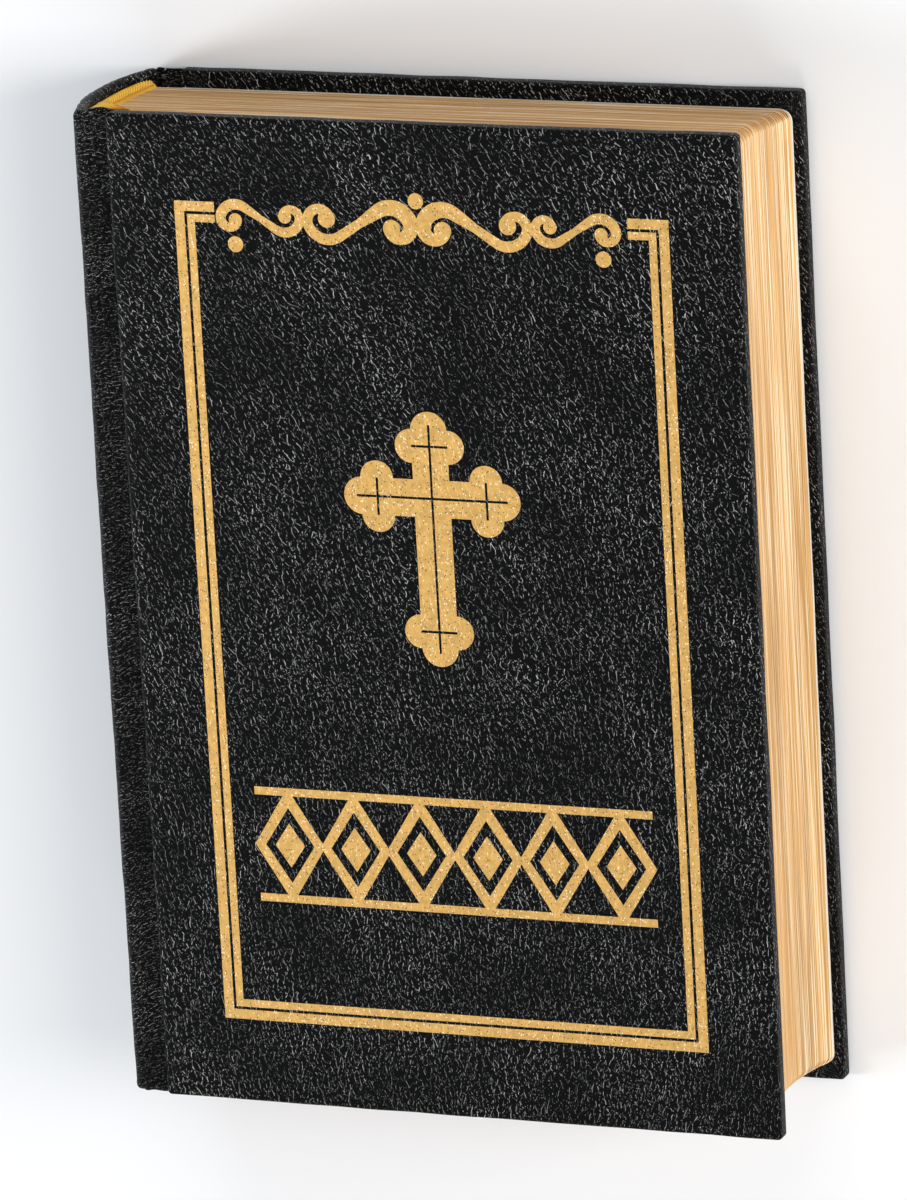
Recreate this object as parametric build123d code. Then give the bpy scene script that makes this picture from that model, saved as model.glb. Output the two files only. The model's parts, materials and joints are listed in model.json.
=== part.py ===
"""A case-bound bible: two leather-covered boards, a rounded hollow spine and a sewn, gilt text block.

The book lies on its back cover. X runs from the spine to the fore-edge, Y from the tail to the
head, Z through the thickness. The origin is under the middle of the closed book. Millimetres.
"""
from build123d import *
import math
import os

os.makedirs("parts", exist_ok=True)

# ---- driving dimensions -------------------------------------------------------------------------
HEIGHT = 221.0           # covers, tail to head, over the leather
THICKNESS = 45.0         # closed book, over both covers
COVER_WIDTH = 150.3      # spine shoulder to fore-edge of the covers
SPINE_BULGE = 4.6        # how far the rounded spine stands behind its shoulders
LEATHER = 0.8            # covering leather
BOARD = 2.5              # pasteboard
TURN_IN = 0.6            # pared leather folded over the inside of a board
TURN_IN_WIDTH = 15.0
PASTEDOWN = 0.2
FLYLEAF = 0.25
SLACK = 0.3              # air between two bodies that move
JOINT_WIDTH = 7.1        # spine shoulder to the spine edge of a covered board
GROOVE_DEPTH = 3.0       # how far the joint groove lies below the cover
GROOVE_SIDE = 3.0        # spine side of the groove's floor, from the shoulder
CREST = 2.0              # crest between the groove and the spine, from the shoulder
SQUARE = 3.85            # covers past the block at head and tail
FORE_SQUARE = 2.4        # covers past the block at the fore-edge
FORE_HOLLOW = 2.8        # hollow of the fore-edge at mid thickness
COVER_CORNER = 1.0       # rounding of the covers' corners, seen from above
PAGE_CORNER = 2.5        # rounding of the pages' corners, seen from above
SECTIONS = 24            # folded and sewn sections of leaves
OPENING_SECTIONS = 3     # top sections whose leaves turn with the front cover
RIBBON_UNDER = 18        # the ribbon lies under this section
RIBBON_WIDTH = 7.5
RIBBON = 0.25
RIBBON_INSET = 1.5       # ribbon's spine edge, from the shoulder
RIBBON_RISE = 5.0        # height of the ribbon's fold, up to the headband
RIBBON_TOP = (0.6, 3.5)  # spine and fore edges of the fold's top, from the ribbon's spine edge
SPINE_STRIP = 0.6        # card that stiffens the hollow spine
HOLLOW = 0.3             # air between the case's spine and the block's back
LAYER = 0.25             # each layer glued on the back of the block
HEADBAND = 1.8           # thickness of the worked cord at head and tail
HEADBAND_TAB = 12.0      # cloth of the headband, glued down the back
HEADBAND_SHORT = 0.5     # headband stops short of the first and the last leaf
GAUZE_SHORT = 13.0       # gauze stops short of head and tail
STATIONS, STATION_INSET = 5, 25.0    # sewing stations, the outer ones this far from the ends
THREAD = 0.8             # length of each thread along the fold
LEAF_BEND = 5.0          # bending strip left free beside a leaf hinge
FOIL = 0.04              # gold leaf

# ---- places worked out from them ----------------------------------------------------------------
FORE_X = (COVER_WIDTH + SPINE_BULGE) / 2
SHOULDER_X = FORE_X - COVER_WIDTH
BOARD_X = SHOULDER_X + JOINT_WIDTH
MID_Z = THICKNESS / 2
COVER = LEATHER + BOARD + TURN_IN + PASTEDOWN
AXIS_Z = 1.5             # height of the back hinge line, in the leather of the shoulder
BLOCK_HALF = HEIGHT / 2 - SQUARE
BOARD_HALF = HEIGHT / 2 - LEATHER

SPINE_R = ((MID_Z - AXIS_Z) ** 2 + SPINE_BULGE ** 2) / (2 * SPINE_BULGE)
SPINE_CENTRE_X = SHOULDER_X - SPINE_BULGE + SPINE_R
STRIP_R = SPINE_R - LEATHER
CAP_R = STRIP_R - SPINE_STRIP
LINING_R = CAP_R - TURN_IN - HOLLOW
GAUZE_R = LINING_R - LAYER
THREAD_R = GAUZE_R - LAYER
BACK_R = THREAD_R - LAYER

PAPER_LOW = COVER + SLACK
FIRST_Z = PAPER_LOW + FLYLEAF
LAST_Z = THICKNESS - PAPER_LOW - FLYLEAF - SLACK
SECTION = (LAST_Z - FIRST_Z - OPENING_SECTIONS * SLACK - SLACK) / SECTIONS
FORE_CHORD = MID_Z - FIRST_Z
FORE_R = (FORE_CHORD ** 2 + FORE_HOLLOW ** 2) / (2 * FORE_HOLLOW)
FORE_CENTRE_X = FORE_X - FORE_SQUARE - FORE_HOLLOW + FORE_R
LEAF_HINGE_X = SHOULDER_X + 6.2

# ---- gold stamping on the front cover -----------------------------------------------------------
FRAME_X, FRAME_Y = 5.6, 0.2        # centre of the ruled frame
FRAME_W, FRAME_H = 112.4, 183.6
OUTER_RULE, RULE_GAP, INNER_RULE = 2.2, 0.65, 1.7
FRAME_OPENING = 94.0                 # gap in the top rules, for the scrolls
STAMP_X = 5.0                        # line on which the scrolls and the cross are centred
CROSS_Y = 28.7                       # where the arms cross
BAR = 8.3                            # width of the arms
ARM_UP, ARM_DOWN, ARM_SIDE = 19.2, 37.3, 20.2
BUD_R = 3.75                         # round buds beside the end of each arm
BUD_INSET = 7.7                      # from the end of an arm to the middle of its side buds
HAIRLINE = 0.55                      # fine line left open in the cross
LINE_INSET = 2.9                     # from the end of an arm to the end of its fine line
SCROLL_Y = 88.9                      # level of the scrolls' middle
# Every scroll is the same S at its own size: a straight middle, then two arcs and a bud at each end
S_SLOPE = 33                         # fall of the straight middle, in degrees
S_STRAIGHT = 4.2                     # half the length of the middle
S_ARCS = ((3.7, 98), (2.1, 185))     # radius and turn of each arc, from the middle outwards
S_BUD_R = 1.5                        # round bud on the inner side of each end
S_STEPS = 16                         # straight steps that draw each stretch
# Left-hand scrolls: middle from the STAMP_X line and SCROLL_Y, size, whether the middle rises,
# and the width of the middle, of the left curl and of the right curl
OUTER_S = (-35.9, -0.1, 1.0, False, 1.5, 2.4, 2.2)
INNER_S = (-13.2, -0.4, 1.3, True, 2.0, 2.4, 3.6)
DOT_R = 1.75
DOTS = ((0, 5.0), (-41.9, -6.0), (41.9, -6.0))
BAND_Y = -51.1                       # middle of the lozenge band
BAND_W, BAND_H, LOZENGES = 92.0, 26.0, 6
BAND_RULE = 1.8                      # rules above and below the lozenges
LOZENGE_OVERLAP = 1.0
LOZENGE_LINE = (5.0, 9.0)            # outer less inner lozenge, across and along
LOZENGE_HEART = (8.5, 16.0)          # pitch less heart across, band less heart along


def spine_x(radius, z):
    """X of the circle of this radius about the spine's centre line, on its spine side."""
    return SPINE_CENTRE_X - math.sqrt(radius ** 2 - (z - MID_Z) ** 2)


def fore_x(z):
    """X of the hollow fore-edge at a height."""
    return FORE_CENTRE_X - math.sqrt(FORE_R ** 2 - (z - MID_Z) ** 2)


def slab(x0, x1, half_y, z0, z1):
    """A box between two X and two Z values, centred on Y."""
    return Pos((x0 + x1) / 2, 0, (z0 + z1) / 2) * Box(x1 - x0, 2 * half_y, z1 - z0)


def carried(lines, y0, y1):
    """A closed X-Z outline carried along Y from y0 to y1."""
    return Pos(0, y0, 0) * extrude(make_face(lines), y1 - y0, dir=(0, 1, 0))


def arc(radius, z0, z1):
    """The part of a spine circle between two heights, as an edge on the X-Z plane."""
    mid = (z0 + z1) / 2
    return ThreePointArc(*[(spine_x(radius, z), 0, z) for z in (z0, mid, z1)])


def spine_shell(outer, inner, z0, z1, y0, y1):
    """A curved sheet between two spine circles and two heights."""
    low = Line((spine_x(inner, z0), 0, z0), (spine_x(outer, z0), 0, z0))
    high = Line((spine_x(outer, z1), 0, z1), (spine_x(inner, z1), 0, z1))
    return carried([low, arc(outer, z0, z1), high, arc(inner, z0, z1)], y0, y1)


def sheet(points, thickness, half_y):
    """A sheet of even thickness that follows an X-Z polyline."""
    path = Polyline(*[(x, 0, z) for x, z in points])
    outline = offset(path, thickness / 2, kind=Kind.INTERSECTION, side=Side.BOTH)
    return carried(outline.edges(), -half_y, half_y)


def front(piece):
    """The same piece on the front cover."""
    return mirror(piece, about=Plane.XY.offset(MID_Z))


def keep(name, piece):
    """Write one sub-part under its node's name."""
    piece.label = name
    export_step(piece, f"parts/{name}.step")


# ---- covers -------------------------------------------------------------------------------------
def cover_leather():
    """Leather over a board: outer face, folded edges, turn-ins and the grooved joint strip."""
    inside = LEATHER + BOARD
    body = slab(BOARD_X, FORE_X, HEIGHT / 2, 0, inside + TURN_IN)
    corners = body.edges().filter_by(Axis.Z).group_by(Axis.X)[-1]
    body = fillet(corners, COVER_CORNER)
    body = fillet(body.faces().sort_by(Axis.Z)[0].edges(), LEATHER * 0.7)
    body -= slab(BOARD_X + LEATHER, FORE_X - LEATHER, BOARD_HALF, LEATHER, inside)
    body -= slab(BOARD_X + LEATHER, FORE_X - TURN_IN_WIDTH, HEIGHT / 2 - TURN_IN_WIDTH,
                 inside, inside + TURN_IN)
    groove = GROOVE_DEPTH + LEATHER / 2
    crest = AXIS_Z - LEATHER / 2
    strip = [(BOARD_X + LEATHER / 2, groove), (SHOULDER_X + GROOVE_SIDE, groove),
             (SHOULDER_X + CREST, crest), (SHOULDER_X + LEATHER, crest)]
    return body + sheet(strip, LEATHER, BOARD_HALF)


def cover_board():
    """Pasteboard, a press fit inside its leather."""
    return slab(BOARD_X + LEATHER, FORE_X - LEATHER, BOARD_HALF, LEATHER, LEATHER + BOARD)


def board_infill():
    """Paper that fills the field between the turn-ins."""
    low = LEATHER + BOARD
    return slab(BOARD_X + LEATHER, FORE_X - TURN_IN_WIDTH, HEIGHT / 2 - TURN_IN_WIDTH,
                low, low + TURN_IN)


def pastedown():
    """The glued half of an endpaper, over the infill and the turn-ins."""
    sheet = slab(BOARD_X + LEATHER, FORE_X - FORE_SQUARE - PASTEDOWN, BLOCK_HALF, COVER - PASTEDOWN, COVER)
    return fillet(sheet.edges().filter_by(Axis.Z).group_by(Axis.X)[-1], PAGE_CORNER)


# ---- text block ---------------------------------------------------------------------------------
def leaves(z0, z1, x0=None):
    """A pile of leaves between two heights: hollow fore-edge, rounded corners, round or cut back."""
    mid = (z0 + z1) / 2
    fore = ThreePointArc(*[(fore_x(z), 0, z) for z in (z0, mid, z1)])
    if x0 is None:
        back = arc(BACK_R, z0, z1)
    else:
        back = Line((x0, 0, z0), (x0, 0, z1))
    low = Line(back @ 0, fore @ 0)
    high = Line(back @ 1, fore @ 1)
    pile = carried([back, low, fore, high], -BLOCK_HALF, BLOCK_HALF)
    width = 2 * max(fore_x(z0), fore_x(z1))
    rounded = Pos(0, 0, z0) * RectangleRounded(width, 2 * BLOCK_HALF, PAGE_CORNER)
    square = Pos(-width / 2, 0, z0) * Rectangle(width, 2 * BLOCK_HALF)
    return pile & extrude(rounded + square, z1 - z0)


def section_fold(z0, z1):
    """The sewn back of an opening section, which stays with the block while its leaves turn."""
    return leaves(z0, z1) & slab(SHOULDER_X - SPINE_BULGE, LEAF_HINGE_X - SLACK, BLOCK_HALF, z0, z1)


def text_block():
    """Flyleaves, sections and the parts that hold them together at the back."""
    leaf_x = LEAF_HINGE_X + LEAF_BEND
    keep("back_flyleaf", leaves(PAPER_LOW, FIRST_Z))
    z = FIRST_Z
    for number in range(1, SECTIONS + 1):
        if number > SECTIONS - OPENING_SECTIONS:
            z += SLACK
            keep(f"section_{number:02d}", leaves(z, z + SECTION, leaf_x))
            keep(f"section_{number:02d}_fold", section_fold(z, z + SECTION))
        else:
            keep(f"section_{number:02d}", leaves(z, z + SECTION))
        z += SECTION
        if number == RIBBON_UNDER - 1:
            keep("ribbon_marker", ribbon_marker(z))
            z += SLACK
    keep("front_flyleaf", leaves(z + SLACK, z + SLACK + FLYLEAF, leaf_x))


def ribbon_marker(z):
    """Woven ribbon: a tongue between the pages and a fold over the block's head to the headband."""
    x0 = SHOULDER_X + RIBBON_INSET
    x1 = x0 + RIBBON_WIDTH
    top = z + RIBBON_RISE
    tongue = slab(x0, x1, BLOCK_HALF, z, z + RIBBON)
    fold = Polyline((x0, 0, z), (x1, 0, z), (x1, 0, z + RIBBON), (x0 + RIBBON_TOP[1], 0, top),
                    (x0 + RIBBON_TOP[0], 0, top), (x0, 0, z), close=False)
    return tongue + carried(fold.edges(), BLOCK_HALF, BLOCK_HALF + RIBBON)


def sewing_threads():
    """Thread along the backs of the sections at each sewing station, as separate pieces."""
    pitch = 2 * (BLOCK_HALF - STATION_INSET) / (STATIONS - 1)
    rows = [(number - (STATIONS - 1) / 2) * pitch for number in range(STATIONS)]
    half = THREAD / 2
    return Compound([spine_shell(THREAD_R, BACK_R, FIRST_Z, LAST_Z, y - half, y + half) for y in rows])


def headband(end):
    """Worked cord along the back edge of the block at its head (1) or tail (-1), with its cloth tab."""
    edge = BLOCK_HALF
    low, high = FIRST_Z + HEADBAND_SHORT, LAST_Z - HEADBAND_SHORT
    cord = spine_shell(BACK_R, BACK_R - HEADBAND, low, high, edge, edge + HEADBAND)
    cloth = spine_shell(THREAD_R, BACK_R, low, high, edge - HEADBAND_TAB, edge + HEADBAND)
    piece = cord + cloth
    return piece if end > 0 else mirror(piece, about=Plane.XZ)


def spine():
    """The parts behind the block: threads, gauze, lining, card strip and leather."""
    low, high = PAPER_LOW, THICKNESS - PAPER_LOW
    keep("sewing_threads", sewing_threads())
    gauze_half = BLOCK_HALF - GAUZE_SHORT
    keep("spine_gauze", spine_shell(GAUZE_R, THREAD_R, low, high, -gauze_half, gauze_half))
    keep("spine_lining", spine_shell(LINING_R, GAUZE_R, low, high, -BLOCK_HALF, BLOCK_HALF))
    low, high = AXIS_Z + 2 * LEATHER, THICKNESS - AXIS_Z - 2 * LEATHER
    strip = spine_shell(STRIP_R, CAP_R, low, high, -BOARD_HALF, BOARD_HALF)
    keep("spine_strip", strip)
    low, high = AXIS_Z + LEATHER, THICKNESS - AXIS_Z - LEATHER
    half = HEIGHT / 2
    skin = spine_shell(SPINE_R, STRIP_R, low, high, -half, half)
    for y0, y1 in ((half - TURN_IN_WIDTH, half), (-half, TURN_IN_WIDTH - half)):
        skin += spine_shell(SPINE_R, CAP_R - TURN_IN, low, high, y0, y1)
    keep("spine_leather", skin - strip)


# ---- gold stamping ------------------------------------------------------------------------------
def stamped(face):
    """A flat outline as gold leaf on the front cover."""
    return Pos(0, 0, THICKNESS) * extrude(face, FOIL)


def ruled_frame(inset, width):
    """One rule of the frame, open at the top for the scrolls."""
    w, h = FRAME_W - 2 * inset, FRAME_H - 2 * inset
    rule = Rectangle(w, h) - Rectangle(w - 2 * width, h - 2 * width)
    rule -= Pos(0, h / 2) * Rectangle(FRAME_OPENING, 4 * width)
    return stamped(Pos(FRAME_X, FRAME_Y) * rule)


def cross():
    """A cross with three round buds at each end and a fine line left open near the ends."""
    up, down, side = ARM_UP - BAR / 2, ARM_DOWN - BAR / 2, ARM_SIDE - BAR / 2
    shape = Pos(0, (up - down) / 2) * Rectangle(BAR, up + down) + Rectangle(2 * side, BAR)
    for angle, length in ((90, ARM_UP), (270, ARM_DOWN), (0, ARM_SIDE), (180, ARM_SIDE)):
        shape += Rot(0, 0, angle) * Pos(length - BAR / 2, 0) * Circle(BAR / 2)
        for across in (-BAR / 2, BAR / 2):
            shape += Rot(0, 0, angle) * Pos(length - BUD_INSET, across) * Circle(BUD_R)
    lines = Pos(0, (up - down) / 2) * Rectangle(HAIRLINE, up + down + BAR - 2 * LINE_INSET)
    lines += Rectangle(2 * (ARM_SIDE - LINE_INSET), HAIRLINE)
    for angle, length in ((90, ARM_UP), (270, ARM_DOWN), (0, ARM_SIDE), (180, ARM_SIDE)):
        lines += Rot(0, 0, angle) * Pos(length - BUD_INSET, 0) * Rectangle(HAIRLINE, BAR)
    return stamped(Pos(STAMP_X, CROSS_Y) * (shape - lines))


def half_s(size, thin, thick):
    """Rows (x, y, heading, half width) from the middle of an S to its right-hand end.

    The heading stays level along the straight stretch and turns evenly along each arc. The width is
    thin + (thick - thin) sin(pi s / length), so the band swells halfway and is thin at both ends.
    """
    stretches = [(S_STRAIGHT * size, 0)]
    stretches += [(radius * size * math.radians(turn), math.radians(turn)) for radius, turn in S_ARCS]
    length = sum(stretch for stretch, _ in stretches)
    x, y, heading, gone = 0, 0, -math.radians(S_SLOPE), 0
    rows = [(x, y, heading, thin / 2)]
    for stretch, turn in stretches:
        for _ in range(S_STEPS):
            middle = heading + turn / S_STEPS / 2
            x += stretch / S_STEPS * math.cos(middle)
            y += stretch / S_STEPS * math.sin(middle)
            heading += turn / S_STEPS
            gone += stretch / S_STEPS
            rows.append((x, y, heading, (thin + (thick - thin) * math.sin(math.pi * gone / length)) / 2))
    return rows


def s_scroll(x, y, size, rising, thin, left_thick, right_thick):
    """An S with a bud in both curls; its left half is its right half turned half way round."""
    right = half_s(size, thin, right_thick)
    left = [(-a, -b, heading, half) for a, b, heading, half in half_s(size, thin, left_thick)[:0:-1]]
    sides = [[(a - side * half * math.sin(heading), b + side * half * math.cos(heading))
              for a, b, heading, half in left + right] for side in (1, -1)]
    shape = make_face(Polyline(*sides[0], *reversed(sides[1]), close=True))
    end_x, end_y, heading, half = right[-1]
    inset = S_BUD_R * size - half
    bud_x, bud_y = end_x - inset * math.sin(heading), end_y + inset * math.cos(heading)
    for turn in (1, -1):
        shape += Pos(turn * bud_x, turn * bud_y) * Circle(S_BUD_R * size)
    if rising:
        shape = mirror(shape, about=Plane.XZ)
    return Pos(x, y) * shape


def scrolls():
    """Two S scrolls on each side of the middle line."""
    half = s_scroll(*OUTER_S) + s_scroll(*INNER_S)
    whole = half + mirror(half, about=Plane.YZ)
    return stamped(Pos(STAMP_X, SCROLL_Y) * whole)


def dots():
    """Three round dots: one over the middle and one under each outer curl."""
    return Compound([stamped(Pos(STAMP_X + x, SCROLL_Y + y) * Circle(DOT_R)) for x, y in DOTS])


def lozenge(width, height):
    """A lozenge about the origin, as a face."""
    x, y = width / 2, height / 2
    return make_face(Polyline((-x, 0), (0, -y), (x, 0), (0, y), close=True))


def lozenge_band():
    """A band of upright lozenges, each with a solid heart, between two rules."""
    pitch = BAND_W / LOZENGES
    across, up = pitch + LOZENGE_OVERLAP, BAND_H
    shape = Rectangle(BAND_W, BAND_H) - Rectangle(BAND_W, BAND_H - 2 * BAND_RULE)
    frame = lozenge(across, up) - lozenge(across - LOZENGE_LINE[0], up - LOZENGE_LINE[1])
    frame += lozenge(pitch - LOZENGE_HEART[0], up - LOZENGE_HEART[1])
    for number in range(LOZENGES):
        shape += Pos((number - (LOZENGES - 1) / 2) * pitch, 0) * frame
    return stamped(Pos(FRAME_X, BAND_Y) * shape)


def main():
    """Write every sub-part."""
    for name, make in (("leather", cover_leather), ("board", cover_board), ("infill", board_infill),
                       ("pastedown", pastedown)):
        piece = make()
        keep(f"back_{name}", piece)
        keep(f"front_{name}", front(piece))
    text_block()
    spine()
    keep("headband_head", headband(1))
    keep("headband_tail", headband(-1))
    keep("foil_outer_rule", ruled_frame(0, OUTER_RULE))
    keep("foil_inner_rule", ruled_frame(OUTER_RULE + RULE_GAP, INNER_RULE))
    keep("foil_scrolls", scrolls())
    keep("foil_dots", dots())
    keep("foil_cross", cross())
    keep("foil_lozenge_band", lozenge_band())


main()
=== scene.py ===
"""Case-bound bible: the finished leather, gold stamping, gilt leaves, headbands, ribbon and stage.

Lengths are in metres. X runs from the spine to the fore-edge, Y from the tail to the head and
Z through the thickness; the book lies on its back cover.
"""
import json
import math

import bmesh
import bpy
import numpy as np
from bpy.props import FloatProperty, FloatVectorProperty, IntProperty, PointerProperty
from mathutils import Matrix, Vector


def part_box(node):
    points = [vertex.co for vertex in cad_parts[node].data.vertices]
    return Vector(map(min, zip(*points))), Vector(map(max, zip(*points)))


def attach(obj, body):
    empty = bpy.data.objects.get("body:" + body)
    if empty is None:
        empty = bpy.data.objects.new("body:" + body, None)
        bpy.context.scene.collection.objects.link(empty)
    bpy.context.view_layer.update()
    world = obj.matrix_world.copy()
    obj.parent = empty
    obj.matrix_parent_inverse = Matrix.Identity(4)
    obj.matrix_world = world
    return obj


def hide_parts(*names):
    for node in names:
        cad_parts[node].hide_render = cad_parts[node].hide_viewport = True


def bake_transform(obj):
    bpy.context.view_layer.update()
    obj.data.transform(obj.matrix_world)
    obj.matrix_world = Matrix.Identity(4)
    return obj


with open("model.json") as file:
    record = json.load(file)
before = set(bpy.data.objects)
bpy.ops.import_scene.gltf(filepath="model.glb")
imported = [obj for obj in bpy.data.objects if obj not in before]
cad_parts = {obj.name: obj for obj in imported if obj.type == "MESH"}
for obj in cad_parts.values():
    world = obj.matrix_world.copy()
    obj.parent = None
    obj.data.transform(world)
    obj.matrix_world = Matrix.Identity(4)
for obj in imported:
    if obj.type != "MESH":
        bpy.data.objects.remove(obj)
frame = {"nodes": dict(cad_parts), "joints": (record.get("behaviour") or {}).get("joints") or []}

bl_info = {
    "name": "Case-bound bible",
    "version": (1, 0, 0),
    "blender": (4, 5, 0),
    "location": "View3D > Sidebar > Bible",
    "description": "Leather, gold, gilt leaves, silk and stage of a case-bound bible",
    "category": "Object",
}

MM = 0.001
SEED = 7

BOARD_LOW, BOARD_HIGH = (np.array(corner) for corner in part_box("front_board"))
LEATHER_LOW, LEATHER_HIGH = (np.array(corner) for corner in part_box("front_leather"))
SPINE_LOW, SPINE_HIGH = (np.array(corner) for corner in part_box("spine_leather"))
PASTE_LOW, PASTE_HIGH = (np.array(corner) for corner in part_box("front_pastedown"))
SECTIONS = sorted(name for name in frame["nodes"] if name.startswith("section_") and len(name) == 10)
OPENING = [name for name in SECTIONS if name + "_fold" in frame["nodes"]]
SKIN = float(LEATHER_HIGH[0] - BOARD_HIGH[0])
TOP = float(LEATHER_HIGH[2])
MIDDLE = TOP / 2
HINGES = {joint["name"]: np.array(joint["pos_m"]) for joint in frame["joints"]}
SHOULDER = float(HINGES["front_cover_hinge"][0])


# ---- sizes and colours a user would change ------------------------------------------------------
def colour(name, description, value):
    """A colour property with its default."""
    return FloatVectorProperty(name=name, description=description, default=value, size=3,
                               subtype="COLOR", min=0, max=1)


def length(name, description, value):
    """A length property in metres with its default."""
    return FloatProperty(name=name, description=description, default=value, unit="LENGTH", precision=5)


class BibleSizes(bpy.types.PropertyGroup):
    """Sizes of the finish, with their defaults."""

    cover_corner: length("Cover corner", "Rounding of the covers' corners, seen from above", 1.0 * MM)
    cover_edge: length("Cover edge", "Rounding of the leather over the edge of a board", 0.8 * MM)
    page_corner: length("Page corner", "Rounding of the leaves' corners, seen from above", 2.5 * MM)
    leaf_bundles: IntProperty(name="Leaf bundles", description="Layers shown in one section", default=6)
    crease_pitch: length("Crease pitch", "Distance between the creases of the leather", 1.6 * MM)
    cap: length("Head cap", "Thickness of the leather turned over the spine's ends", 2.7 * MM)
    cord: length("Headband cord", "Diameter of the worked cord", 2.0 * MM)


class BibleColours(bpy.types.PropertyGroup):
    """Colours of the materials, as linear values."""

    leather: colour("Leather", "Dyed leather", (0.0040, 0.0042, 0.0044))
    # The crease colour is a painted highlight: pale glints painted along the leather's creases and beads.
    crease: colour("Creases", "Rubbed ridges beside the creases", (0.58, 0.58, 0.57))
    foil: colour("Gold foil", "Stamped gold", (0.80, 0.47, 0.13))
    gilt: colour("Gilt edge", "Gold on the edges of the leaves", (0.86, 0.52, 0.20))
    # The dark gilt colour serves both darker leaves and the painted shade of the head, tail and corners.
    gilt_dark_and_shade: colour("Gilt shade", "Darker leaves of the gilt edge", (0.38, 0.19, 0.05))
    paper: colour("Paper", "Leaves and endpapers", (0.80, 0.76, 0.67))
    board: colour("Board", "Grey pasteboard", (0.30, 0.27, 0.23))
    silk: colour("Silk", "Headbands and ribbon", (0.95, 0.42, 0.008))
    linen: colour("Linen", "Gauze and sewing thread", (0.66, 0.60, 0.48))
    floor: colour("Floor", "Pale studio floor", (0.80, 0.81, 0.83))


def sizes():
    """The size properties in use."""
    return bpy.context.scene.bible_sizes


def colours():
    """The colour properties in use."""
    return bpy.context.scene.bible_colours


# ---- shader maths -------------------------------------------------------------------------------
class Wire:
    """An output of a material's nodes. Arithmetic on it adds Math nodes."""

    def __init__(self, finish, socket):
        self.finish = finish
        self.socket = socket

    def maths(self, operation, *values, **settings):
        """A Math node on these values."""
        settings["operation"] = operation
        return self.finish.node("ShaderNodeMath", settings, dict(enumerate(values)))

    def __add__(self, other):
        return self.maths("ADD", self, other)

    __radd__ = __add__

    def __sub__(self, other):
        return self.maths("SUBTRACT", self, other)

    def __rsub__(self, other):
        return self.maths("SUBTRACT", other, self)

    def __mul__(self, other):
        return self.maths("MULTIPLY", self, other)

    __rmul__ = __mul__

    def __truediv__(self, other):
        return self.maths("DIVIDE", self, other)

    def __rtruediv__(self, other):
        return self.maths("DIVIDE", other, self)

    def step(self, low, high):
        """0 below low, 1 above high, smooth between them."""
        settings = {"interpolation_type": "SMOOTHSTEP"}
        return self.finish.node("ShaderNodeMapRange", settings,
                                {"Value": self, "From Min": low, "From Max": high})

    def mix(self, one, two):
        """Colour one where this is 0, colour two where it is 1."""
        values = {0: self, 6: one, 7: two}
        return self.finish.node("ShaderNodeMix", {"data_type": "RGBA"}, values, 2)


class Finish:
    """A material in the making, with a Principled shader."""

    def __init__(self, name, **constants):
        self.material = bpy.data.materials.new(name)
        self.material.use_nodes = True
        self.tree = self.material.node_tree
        self.shader = self.tree.nodes["Principled BSDF"]
        for socket, value in constants.items():
            self.shader.inputs[socket.replace("_", " ")].default_value = value

    def plug(self, socket, value):
        """Link a wire to a socket, or set the socket's own value."""
        if isinstance(value, Wire):
            self.tree.links.new(value.socket, socket)
        elif isinstance(value, (tuple, list)) and len(socket.default_value) > len(value):
            socket.default_value = (*value, 1)
        else:
            socket.default_value = value

    def node(self, kind, settings=None, sockets=None, output=0):
        """Add a node: its settings, then its sockets' values or links. Returns one output."""
        node = self.tree.nodes.new(kind)
        for key, value in (settings or {}).items():
            setattr(node, key, value)
        for key, value in (sockets or {}).items():
            self.plug(node.inputs[key], value)
        return Wire(self, node.outputs[output])

    def feed(self, **wires):
        """Plug values into the shader."""
        for socket, value in wires.items():
            self.plug(self.shader.inputs[socket.replace("_", " ")], value)

    def place(self, attribute=None):
        """Object coordinates, or the piece's own attribute."""
        if attribute:
            return self.node("ShaderNodeAttribute", {"attribute_name": attribute}, output="Vector")
        return self.node("ShaderNodeTexCoord", output="Object")

    def cut(self, place, across, turn=0.0):
        """Coordinates in units of a cell of this size along each axis, the cells turned about Z."""
        settings = {"vector_type": "TEXTURE"}
        return self.node("ShaderNodeMapping", settings,
                         {"Vector": place, "Rotation": (0, 0, turn), "Scale": across})

    def noise(self, place, scale, detail=2.0, output=0, flat=False):
        """Smooth noise of about one cell for each 1/scale metres, flat for a sheet."""
        settings = {"noise_dimensions": "2D" if flat else "3D"}
        return self.node("ShaderNodeTexNoise", settings,
                         {"Vector": place, "Scale": scale, "Detail": detail}, output)

    def cells(self, place, feature, output="Distance"):
        """Voronoi cells one unit apart on a sheet."""
        settings = {"feature": feature, "voronoi_dimensions": "2D"}
        return self.node("ShaderNodeTexVoronoi", settings, {"Vector": place, "Scale": 1.0}, output)

    def vector(self, operation, *values, output="Vector"):
        """A Vector Math node on these values."""
        sockets = dict(enumerate(values))
        if operation == "SCALE":
            sockets = {0: values[0], "Scale": values[1]}
        return self.node("ShaderNodeVectorMath", {"operation": operation}, sockets, output)

    def axis(self, vector, name):
        """One component of a vector."""
        return self.node("ShaderNodeSeparateXYZ", {}, {0: vector}, name)

    def bump(self, height, distance, strength=1.0):
        """Normals from a height, where 1 stands distance metres proud."""
        return self.node("ShaderNodeBump", {},
                         {"Height": height, "Distance": distance, "Strength": strength},
                         "Normal")


def warped(finish, place, scale, amount):
    """Coordinates pushed about by noise, up to amount metres."""
    drift = finish.noise(place, scale, 1.0, "Color", flat=True)
    push = finish.vector("SUBTRACT", drift, (0.5, 0.5, 0.5))
    return finish.vector("ADD", place, finish.vector("SCALE", push, amount))


def leaning(finish, place):
    """Coordinates sheared as a hide stretches: x + y (0.16 + 1.1 y - 1.8 x), so creases slowly turn."""
    x, y = finish.axis(place, "X"), finish.axis(place, "Y")
    return finish.node("ShaderNodeCombineXYZ", {}, {"X": x + y * (0.16 + y * 1.1 - x * 1.8), "Y": y})


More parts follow.
